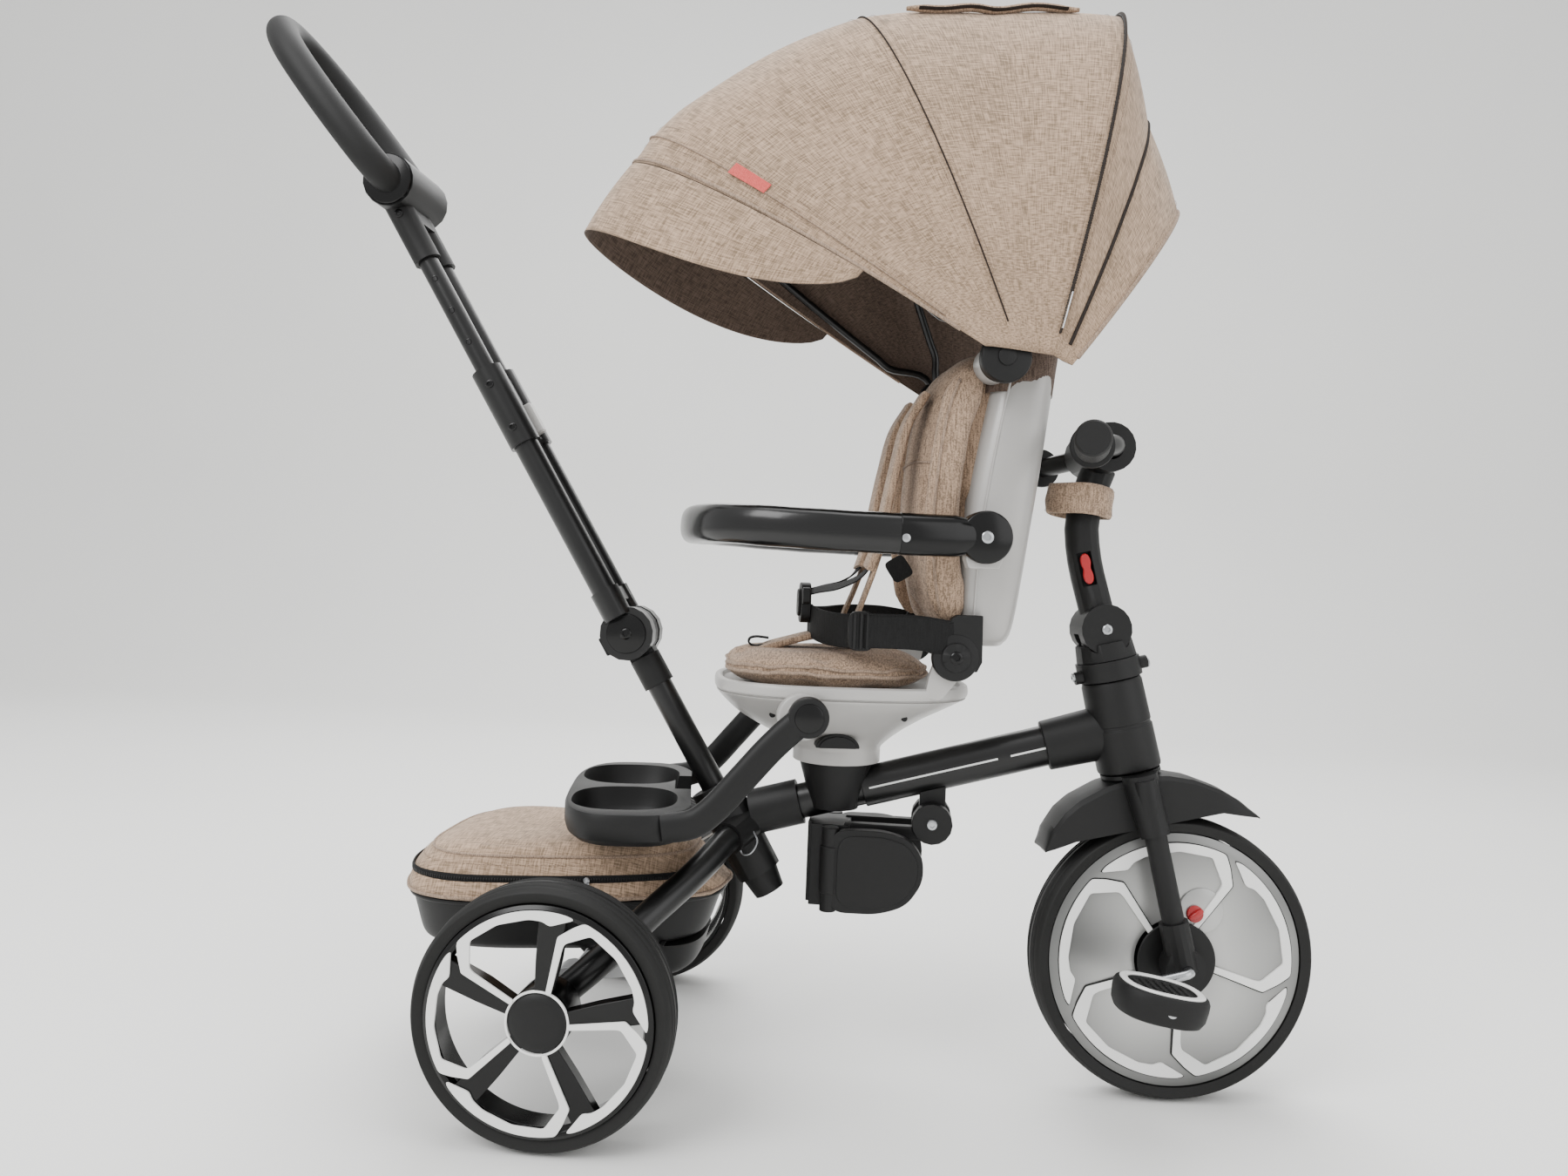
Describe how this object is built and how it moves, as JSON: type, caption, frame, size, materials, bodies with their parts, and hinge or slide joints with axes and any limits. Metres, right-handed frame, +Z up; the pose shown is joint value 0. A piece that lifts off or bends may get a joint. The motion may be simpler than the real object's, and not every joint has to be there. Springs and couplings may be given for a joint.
{
  "type": "children's tricycle with push handle and canopy",
  "caption": "Children's tricycle with a turning seat, backrest, folding canopy, bumper bar, footrest, storage basket and a telescopic push handle.",
  "frame": {"origin": "on the ground, in the middle of the whole tricycle's bounding box", "axes": "+X forwards to the front wheel, +Y to the left side, +Z up"},
  "size_m": [1.1838, 0.503, 1.1679],
  "materials": {
    "paint": "satin",
    "black_plastic": "fine grain",
    "gloss_black": "gloss",
    "silver_plastic": "satin silver",
    "steel": "brushed",
    "tyre": "matt, ribbed",
    "rubber": "soft, matt",
    "beige_fabric": "melange weave",
    "lining_fabric": "dark lining",
    "webbing": "woven webbing",
    "red_plastic": "satin"
  },
  "bodies": {
    "frame": {"main_beam": "paint", "head_lug": "black_plastic", "swivel_base": "black_plastic", "rear_lug": "black_plastic", "rear_leg_right": "paint", "rear_leg_left": "paint", "rear_axle": "steel", "basket_tub": "black_plastic", "basket_cover": "beige_fabric", "step_hanger": "black_plastic"},
    "step_arm": {"step_arm": "black_plastic"},
    "step_plate_right": {"step_plate_right": "black_plastic"},
    "step_plate_left": {"step_plate_left": "black_plastic"},
    "fork": {"fork": "black_plastic", "fender": "black_plastic", "clamp_ring": "black_plastic", "stem_base": "black_plastic"},
    "stem": {"stem_arm": "black_plastic", "handlebar": "paint", "grip_right": "rubber", "grip_left": "rubber", "stem_strap": "beige_fabric"},
    "stem_button": {"stem_button": "red_plastic"},
    "front_wheel": {"front_tyre": "tyre", "front_hub": "black_plastic", "front_disc_right": "silver_plastic", "front_disc_left": "silver_plastic"},
    "clutch_knob": {"clutch_knob": "red_plastic"},
    "crank": {"crank": "steel"},
    "pedal_right": {"pedal_right": "rubber"},
    "pedal_left": {"pedal_left": "rubber"},
    "rear_wheel_right": {"rear_tyre_right": "tyre", "rear_rim_right": "gloss_black", "rear_hub_cap_right": "black_plastic"},
    "rear_wheel_left": {"rear_tyre_left": "tyre", "rear_rim_left": "gloss_black", "rear_hub_cap_left": "black_plastic"},
    "brake_pedal_right": {"brake_pedal_right": "silver_plastic"},
    "brake_pedal_left": {"brake_pedal_left": "silver_plastic"},
    "seat": {"seat_shell": "silver_plastic", "seat_cushion": "beige_fabric", "waist_belt": "webbing"},
    "swivel_button": {"swivel_button": "black_plastic"},
    "backrest": {"backrest_shell": "silver_plastic", "backrest_cushion": "beige_fabric", "recline_bracket": "black_plastic", "canopy_fabric": "beige_fabric"},
    "bumper": {"bumper_bar": "gloss_black"},
    "canopy_front": {"canopy_hoop_front": "black_plastic", "canopy_visor": "lining_fabric"},
    "canopy_mid": {"canopy_hoop_mid": "black_plastic"},
    "footrest": {"footrest_tray": "black_plastic"},
    "pole": {"pole": "paint", "pole_joint": "black_plastic"},
    "pole_button": {"pole_button": "black_plastic"},
    "handle_lower": {"outer_tubes": "paint"},
    "handle_upper": {"inner_tubes": "paint", "handle_yoke": "black_plastic"},
    "telescope_lever": {"telescope_lever": "silver_plastic"},
    "handle_ring": {"handle_ring": "rubber"}
  },
  "joints": [
    {"name": "step_swing", "type": "hinge", "parent": "frame", "child": "step_arm", "pos_m": [0.18531, 0, 0.28], "axis": [0, -1, 0], "range_deg": [0, 60]},
    {"name": "step_plate_right_fold", "type": "hinge", "parent": "step_arm", "child": "step_plate_right", "pos_m": [0.07731, -0.04, 0.23], "axis": [0, 0, -1], "range_deg": [0, 90]},
    {"name": "step_plate_left_fold", "type": "hinge", "parent": "step_arm", "child": "step_plate_left", "pos_m": [0.07731, 0.04, 0.23], "axis": [0, 0, 1], "range_deg": [0, 90]},
    {"name": "steer", "type": "hinge", "parent": "frame", "child": "fork", "pos_m": [0.38283, 0, 0.39257], "axis": [-0.2419, 0, 0.9703], "range_deg": [-22, 7]},
    {"name": "stem_fold", "type": "hinge", "parent": "fork", "child": "stem", "pos_m": [0.35695, 0, 0.4964], "axis": [-0.1266, 0.9914, -0.0316], "range_deg": [0, 70]},
    {"name": "stem_button_push", "type": "slide", "parent": "stem", "child": "stem_button", "axis": [-0.1266, 0.9914, -0.0316], "range_m": [0, 0.003], "stiffness_N_per_m": 600, "springref_m": -0.002},
    {"name": "front_wheel_spin", "type": "hinge", "parent": "fork", "child": "front_wheel", "pos_m": [0.44331, 0, 0.15], "axis": [-0.1266, 0.9914, -0.0316], "continuous": true},
    {"name": "crank_spin", "type": "hinge", "parent": "fork", "child": "crank", "pos_m": [0.44331, 0, 0.15], "axis": [-0.1266, 0.9914, -0.0316], "continuous": true},
    {"name": "clutch_turn", "type": "hinge", "parent": "front_wheel", "child": "clutch_knob", "pos_m": [0.46153, 0.00392, 0.19989], "axis": [-0.1266, 0.9914, -0.0316], "range_deg": [0, 90]},
    {"name": "pedal_right_spin", "type": "hinge", "parent": "crank", "child": "pedal_right", "pos_m": [0.4094, -0.11757, 0.14154], "axis": [-0.1266, 0.9914, -0.0316], "continuous": true},
    {"name": "pedal_left_spin", "type": "hinge", "parent": "crank", "child": "pedal_left", "pos_m": [0.47723, 0.11757, 0.15846], "axis": [-0.1266, 0.9914, -0.0316], "continuous": true},
    {"name": "rear_wheel_right_spin", "type": "hinge", "parent": "frame", "child": "rear_wheel_right", "pos_m": [-0.17369, -0.2255, 0.125], "axis": [0, 1, 0], "continuous": true},
    {"name": "rear_wheel_left_spin", "type": "hinge", "parent": "frame", "child": "rear_wheel_left", "pos_m": [-0.17369, 0.2255, 0.125], "axis": [0, 1, 0], "continuous": true},
    {"name": "brake_right_press", "type": "hinge", "parent": "frame", "child": "brake_pedal_right", "pos_m": [-0.17369, -0.138, 0.125], "axis": [0, 1, 0], "range_deg": [0, 18]},
    {"name": "brake_left_press", "type": "hinge", "parent": "frame", "child": "brake_pedal_left", "pos_m": [-0.17369, 0.138, 0.125], "axis": [0, 1, 0], "range_deg": [0, 18]},
    {"name": "seat_swivel", "type": "hinge", "parent": "frame", "child": "seat", "pos_m": [0.07831, 0, 0.34], "axis": [0, 0, 1], "range_deg": [-40, 28]},
    {"name": "swivel_button_push", "type": "slide", "parent": "seat", "child": "swivel_button", "axis": [-0.1736, 0.9848, 0], "range_m": [0, 0.003], "stiffness_N_per_m": 600, "springref_m": -0.002},
    {"name": "recline", "type": "hinge", "parent": "seat", "child": "backrest", "pos_m": [0.17876, 0.01771, 0.466], "axis": [-0.1736, 0.9848, 0], "range_deg": [-7, 4]},
    {"name": "bumper_lift", "type": "hinge", "parent": "backrest", "child": "bumper", "pos_m": [0.19551, 0.02066, 0.587], "axis": [-0.1736, 0.9848, 0], "range_deg": [0, 60]},
    {"name": "canopy_fold", "type": "hinge", "parent": "backrest", "child": "canopy_front", "pos_m": [0.20634, 0.02257, 0.762], "axis": [-0.1736, 0.9848, 0], "range_deg": [0, 65], "deforming": ["canopy_fabric"]},
    {"name": "canopy_mid_fold", "type": "hinge", "parent": "backrest", "child": "canopy_mid", "pos_m": [0.20634, 0.02257, 0.762], "axis": [-0.1736, 0.9848, 0], "range_deg": [0, 32.5]},
    {"name": "footrest_tilt", "type": "hinge", "parent": "seat", "child": "footrest", "pos_m": [0.02809, -0.00886, 0.402], "axis": [-0.1736, 0.9848, 0], "range_deg": [-3, 15]},
    {"name": "pole_turn", "type": "hinge", "parent": "frame", "child": "pole", "pos_m": [-0.02229, 0, 0.245], "axis": [-0.5113, 0, 0.8594], "range_deg": [-20, 20]},
    {"name": "pole_button_push", "type": "slide", "parent": "pole", "child": "pole_button", "axis": [0.8594, 0, 0.5113], "range_m": [0, 0.004], "stiffness_N_per_m": 800, "springref_m": -0.002},
    {"name": "handle_fold", "type": "hinge", "parent": "pole", "child": "handle_lower", "pos_m": [-0.15625, 0, 0.47016], "axis": [0, -1, 0], "range_deg": [0, 55]},
    {"name": "telescope", "type": "slide", "parent": "handle_lower", "child": "handle_upper", "axis": [-0.5113, 0, 0.8594], "range_m": [-0.13, 0]},
    {"name": "telescope_lever_squeeze", "type": "hinge", "parent": "handle_lower", "child": "telescope_lever", "pos_m": [-0.27247, 0, 0.69192], "axis": [0, 1, 0], "range_deg": [0, 10], "stiffness_Nm_per_rad": 2, "springref_deg": -2.86},
    {"name": "ring_tilt", "type": "hinge", "parent": "handle_upper", "child": "handle_ring", "pos_m": [-0.43449, 0, 0.9574], "axis": [0, -1, 0], "range_deg": [-45, 90]}
  ],
  "couplings": [
    {"joint": "crank_spin", "follows": "front_wheel_spin", "ratio": 1},
    {"joint": "canopy_mid_fold", "follows": "canopy_fold", "ratio": 0.5}
  ]
}
